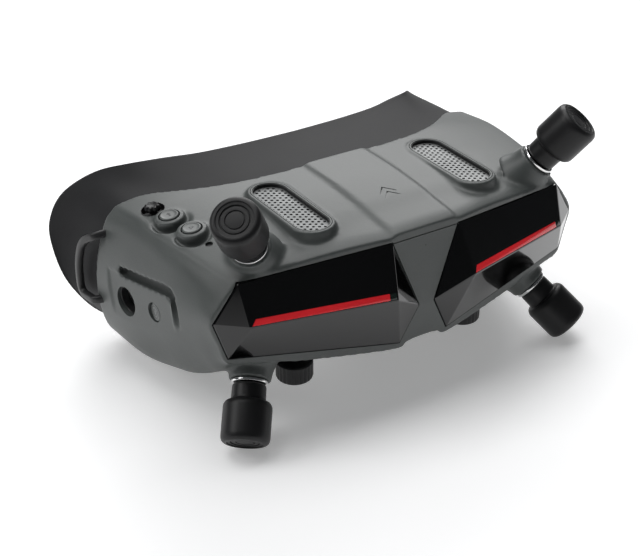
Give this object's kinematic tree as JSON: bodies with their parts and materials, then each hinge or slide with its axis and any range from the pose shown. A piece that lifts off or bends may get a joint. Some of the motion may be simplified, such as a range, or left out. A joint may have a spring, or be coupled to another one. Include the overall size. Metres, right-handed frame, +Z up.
{
  "type": "fpv goggles",
  "caption": "Video goggles for flying model aircraft: faceted gloss front, flared face shield, stub antennas, thumb stick, vents and adjustable eyepieces.",
  "frame": {"origin": "middle of the footprint on the surface that the goggles stand on", "axes": "+X towards the right as the front is faced, -Y out of the front covers, +Y towards the wearer, +Z up"},
  "size_m": [0.1832, 0.126, 0.0938],
  "materials": {
    "casing": "satin moulded, dark grey with a slight green cast",
    "gloss_cover": "polished black",
    "red_strip": "red, translucent",
    "strip_end": "dark smoked",
    "antenna_shell": "satin black",
    "plated_ring": "bright plated",
    "screw_steel": "plain steel",
    "rail_steel": "ground steel",
    "cooler": "extruded",
    "shield": "soft charcoal moulding",
    "foam": "closed-cell foam with a cloth face",
    "grille": "silver grey perforated sheet",
    "dark_plastic": "black, fine texture",
    "display": "dark panel",
    "board": "green circuit board",
    "lens_glass": "coated lens",
    "light_pipe": "milky light pipe"
  },
  "bodies": {
    "root": {"front_housing": "casing", "front_frame": "casing", "centre_plate": "casing", "vent_bezel_left": "casing", "vent_bezel_right": "casing", "front_panel_left": "gloss_cover", "front_panel_right": "gloss_cover", "light_strip_left": "red_strip", "light_strip_right": "red_strip", "strip_end_left": "strip_end", "strip_end_right": "strip_end", "antenna_top_left": "antenna_shell", "antenna_top_right": "antenna_shell", "antenna_bottom_left": "antenna_shell", "antenna_bottom_right": "antenna_shell", "sma_ring_top_left": "plated_ring", "sma_ring_top_right": "plated_ring", "sma_ring_bottom_left": "plated_ring", "sma_ring_bottom_right": "plated_ring", "cover_screw_1": "screw_steel", "cover_screw_2": "screw_steel", "cover_screw_3": "screw_steel", "cover_screw_4": "screw_steel", "guide_rail_upper": "rail_steel", "guide_rail_lower_left": "rail_steel", "guide_rail_lower_right": "rail_steel", "heat_sink": "cooler", "face_shield": "shield", "face_foam": "foam", "vent_grille_left": "grille", "vent_grille_right": "grille", "rear_cover": "dark_plastic", "strap_hook_left": "dark_plastic", "strap_hook_right": "dark_plastic", "fan_frame_left": "dark_plastic", "fan_frame_right": "dark_plastic", "joystick_base": "dark_plastic", "button_switch_return": "dark_plastic", "button_switch_record": "dark_plastic", "dc_jack": "dark_plastic", "main_board": "board", "status_led": "light_pipe"},
    "joystick_gimbal": {"joystick_yoke": "dark_plastic"},
    "joystick_lever": {"joystick_stem": "dark_plastic"},
    "joystick_top": {"joystick_cap": "antenna_shell"},
    "return_key": {"button_cap_return": "casing"},
    "record_key": {"button_cap_record": "casing"},
    "power_key": {"power_button": "casing"},
    "fan_left": {"fan_rotor_left": "dark_plastic"},
    "fan_right": {"fan_rotor_right": "dark_plastic"},
    "optic_left": {"lens_carriage_left": "dark_plastic", "display_left": "display"},
    "optic_right": {"lens_carriage_right": "dark_plastic", "display_right": "display"},
    "knob_left": {"focus_knob_left": "dark_plastic"},
    "knob_right": {"focus_knob_right": "dark_plastic"},
    "eyepiece_left": {"lens_barrel_left": "dark_plastic", "eyepiece_lens_left": "lens_glass"},
    "eyepiece_right": {"lens_barrel_right": "dark_plastic", "eyepiece_lens_right": "lens_glass"}
  },
  "joints": [
    {"name": "joystick_tilt_forward", "type": "hinge", "parent": "root", "child": "joystick_gimbal", "pos_m": [-0.06946, 0.00946, 0.06325], "axis": [0.9874, 0, 0.158], "range_deg": [-8, 8], "stiffness_Nm_per_rad": 0.02},
    {"name": "joystick_tilt_sideways", "type": "hinge", "parent": "joystick_gimbal", "child": "joystick_lever", "pos_m": [-0.06946, 0.00946, 0.06325], "axis": [0, 1, 0], "range_deg": [-8, 8], "stiffness_Nm_per_rad": 0.02},
    {"name": "joystick_press", "type": "slide", "parent": "joystick_lever", "child": "joystick_top", "axis": [-0.158, 0, 0.9874], "range_m": [-0.0003, 0], "stiffness_N_per_m": 400},
    {"name": "return_button_press", "type": "slide", "parent": "root", "child": "return_key", "axis": [-0.158, 0, 0.9874], "range_m": [-0.0004, 0], "stiffness_N_per_m": 400},
    {"name": "record_button_press", "type": "slide", "parent": "root", "child": "record_key", "axis": [-0.158, 0, 0.9874], "range_m": [-0.0004, 0], "stiffness_N_per_m": 400},
    {"name": "power_button_press", "type": "slide", "parent": "root", "child": "power_key", "axis": [1, 0, 0], "range_m": [0, 0.0003], "stiffness_N_per_m": 400},
    {"name": "fan_spin_left", "type": "hinge", "parent": "root", "child": "fan_left", "pos_m": [-0.034, -0.02904, 0.0625], "axis": [0, 0, 1], "continuous": true},
    {"name": "fan_spin_right", "type": "hinge", "parent": "root", "child": "fan_right", "pos_m": [0.034, -0.02904, 0.0625], "axis": [0, 0, 1], "continuous": true},
    {"name": "eye_distance_left", "type": "slide", "parent": "root", "child": "optic_left", "axis": [-1, 0, 0], "range_m": [-0.003, 0.004]},
    {"name": "focus_turn_left", "type": "hinge", "parent": "optic_left", "child": "knob_left", "pos_m": [-0.0375, -0.03054, 0.0152], "axis": [0, 0, 1], "range_deg": [-60, 180]},
    {"name": "lens_focus_left", "type": "slide", "parent": "optic_left", "child": "eyepiece_left", "axis": [0, 1, 0], "range_m": [-0.0008, 0.0024]},
    {"name": "eye_distance_right", "type": "slide", "parent": "root", "child": "optic_right", "axis": [1, 0, 0], "range_m": [-0.003, 0.004]},
    {"name": "focus_turn_right", "type": "hinge", "parent": "optic_right", "child": "knob_right", "pos_m": [0.0375, -0.03054, 0.0152], "axis": [0, 0, 1], "range_deg": [-60, 180]},
    {"name": "lens_focus_right", "type": "slide", "parent": "optic_right", "child": "eyepiece_right", "axis": [0, 1, 0], "range_m": [-0.0008, 0.0024]}
  ],
  "couplings": [
    {"joint": "focus_turn_left", "follows": "lens_focus_left", "rad_per_m": 1305},
    {"joint": "focus_turn_right", "follows": "lens_focus_right", "rad_per_m": 1305}
  ]
}
